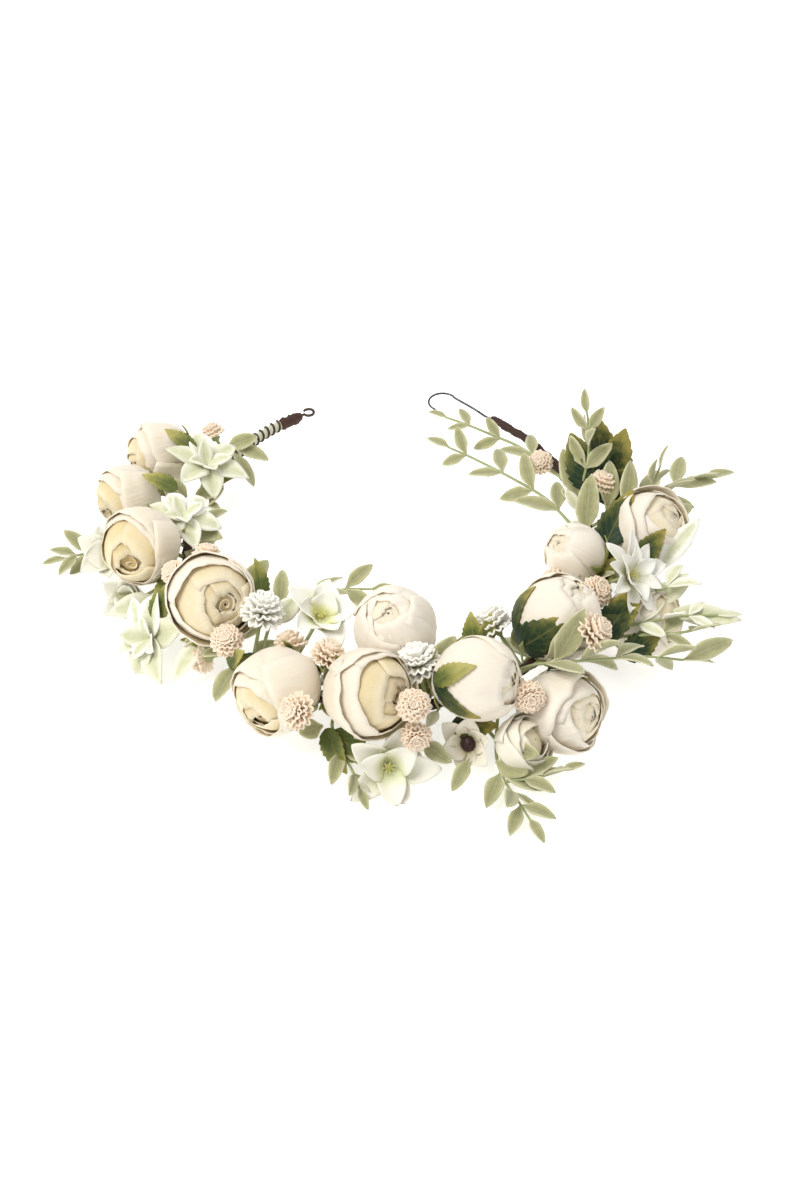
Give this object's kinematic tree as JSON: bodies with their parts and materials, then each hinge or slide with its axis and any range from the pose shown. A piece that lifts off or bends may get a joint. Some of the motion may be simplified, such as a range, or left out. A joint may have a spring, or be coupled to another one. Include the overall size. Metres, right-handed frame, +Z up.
{
  "type": "flower crown",
  "caption": "Open wire-cored flower crown with a taped band, hook closure, cream artificial roses, small blush and white blooms and sage sprigs.",
  "frame": {"origin": "centre of the head opening, on the surface that the crown lies on", "axes": "+Z up through the head opening, -Y to the middle of the front of the band, +X to the side that carries the closing hook"},
  "size_m": [0.2931, 0.2517, 0.0605],
  "materials": {
    "rose_petal": "ivory pressed fabric petals with cream to ochre hearts, matte",
    "rose_leaf": "dark green pressed fabric leaf with olive edges, satin",
    "blush_plastic": "soft moulded blush plastic, matte",
    "white_plastic": "soft moulded white plastic, matte",
    "blossom_petal": "white pressed fabric petals, matte",
    "mint_leaf": "pale mint flocked leaf, velvety",
    "sage_leaf": "sage green flocked leaf, velvety",
    "floral_tape": "dark brown waxed paper tape, matte",
    "dark_wire": "dark brown lacquered wire, satin"
  },
  "bodies": {
    "front": {"band_wire_front": "dark_wire", "band_wrap_front": "floral_tape", "rose_04": "rose_petal", "rose_04_calyx": "rose_leaf", "rose_05": "rose_petal", "rose_05_calyx": "rose_leaf", "rose_06": "rose_petal", "rose_06_calyx": "rose_leaf", "rose_07": "rose_petal", "rose_07_calyx": "rose_leaf", "rose_08": "rose_petal", "rose_08_calyx": "rose_leaf", "rose_09": "rose_petal", "rose_09_calyx": "rose_leaf", "rose_13": "rose_petal", "rose_13_calyx": "rose_leaf", "mum_spray_2": "blush_plastic", "mum_spray_3": "blush_plastic", "mum_spray_4": "blush_plastic", "mum_spray_5": "blush_plastic", "mum_spray_6": "blush_plastic", "white_mum_1": "white_plastic", "white_mum_2": "white_plastic", "white_mum_3": "white_plastic", "blossom_2": "blossom_petal", "blossom_spray_3": "blossom_petal", "blossom_5": "blossom_petal", "mint_leaves_2": "mint_leaf", "sprig_inner_front": "sage_leaf", "sprig_front_left": "sage_leaf"},
    "left_arm": {"band_wire_left": "dark_wire", "band_wrap_left": "floral_tape", "tip_binding": "dark_wire", "rose_01": "rose_petal", "rose_01_calyx": "rose_leaf", "rose_02": "rose_petal", "rose_02_calyx": "rose_leaf", "rose_03": "rose_petal", "rose_03_calyx": "rose_leaf", "mum_spray_1": "blush_plastic", "blossom_spray_1": "blossom_petal", "mint_leaves_1": "mint_leaf"},
    "right_arm": {"band_wire_right": "dark_wire", "band_wrap_right": "floral_tape", "rose_10": "rose_petal", "rose_10_calyx": "rose_leaf", "rose_11": "rose_petal", "rose_11_calyx": "rose_leaf", "rose_12": "rose_petal", "rose_12_calyx": "rose_leaf", "mum_spray_7": "blush_plastic", "mum_spray_8": "blush_plastic", "blossom_4": "blossom_petal"},
    "closing_hook": {"closing_hook": "dark_wire"},
    "sprig_left": {"sprig_left": "sage_leaf"},
    "sprig_front_right": {"sprig_front_right": "sage_leaf"},
    "sprig_right_long": {"sprig_right_long": "sage_leaf"},
    "sprig_right_high": {"sprig_right_high": "sage_leaf"},
    "sprig_upright": {"sprig_upright": "sage_leaf"},
    "sprig_inner_right": {"sprig_inner_right": "sage_leaf"}
  },
  "joints": [
    {"name": "left_arm_bend", "type": "hinge", "parent": "front", "child": "left_arm", "pos_m": [-0.08459, -0.02674, 0.014], "axis": [0, 0, 1], "range_deg": [-9, 10]},
    {"name": "right_arm_bend", "type": "hinge", "parent": "front", "child": "right_arm", "pos_m": [0.07395, -0.04404, 0.014], "axis": [0, 0, -1], "range_deg": [-9, 10]},
    {"name": "hook_bend", "type": "hinge", "parent": "right_arm", "child": "closing_hook", "pos_m": [0.04398, 0.08226, 0.014], "axis": [0, 0, 1], "range_deg": [-20, 20]},
    {"name": "sprig_left_bend", "type": "hinge", "parent": "left_arm", "child": "sprig_left", "pos_m": [-0.0906, -0.0015, 0.013], "axis": [0, 0, -1], "range_deg": [0, 14]},
    {"name": "sprig_front_right_bend", "type": "hinge", "parent": "front", "child": "sprig_front_right", "pos_m": [0.0414, -0.0872, 0.0126], "axis": [-1, 0, 0], "range_deg": [0, 15]},
    {"name": "sprig_right_long_bend", "type": "hinge", "parent": "front", "child": "sprig_right_long", "pos_m": [0.0445, -0.0842, 0.0155], "axis": [0, 0, -1], "range_deg": [0, 15]},
    {"name": "sprig_right_high_bend", "type": "hinge", "parent": "right_arm", "child": "sprig_right_high", "pos_m": [0.0851, 0.0085, 0.0145], "axis": [0, -1, 0], "range_deg": [0, 15]},
    {"name": "sprig_upright_bend", "type": "hinge", "parent": "right_arm", "child": "sprig_upright", "pos_m": [0.0803, 0.024, 0.0167], "axis": [-1, 0, 0], "range_deg": [-5, 20]},
    {"name": "sprig_inner_right_bend", "type": "hinge", "parent": "right_arm", "child": "sprig_inner_right", "pos_m": [0.0799, 0.0034, 0.014], "axis": [0.6925, 0.7214, 0], "range_deg": [0, 20]}
  ]
}
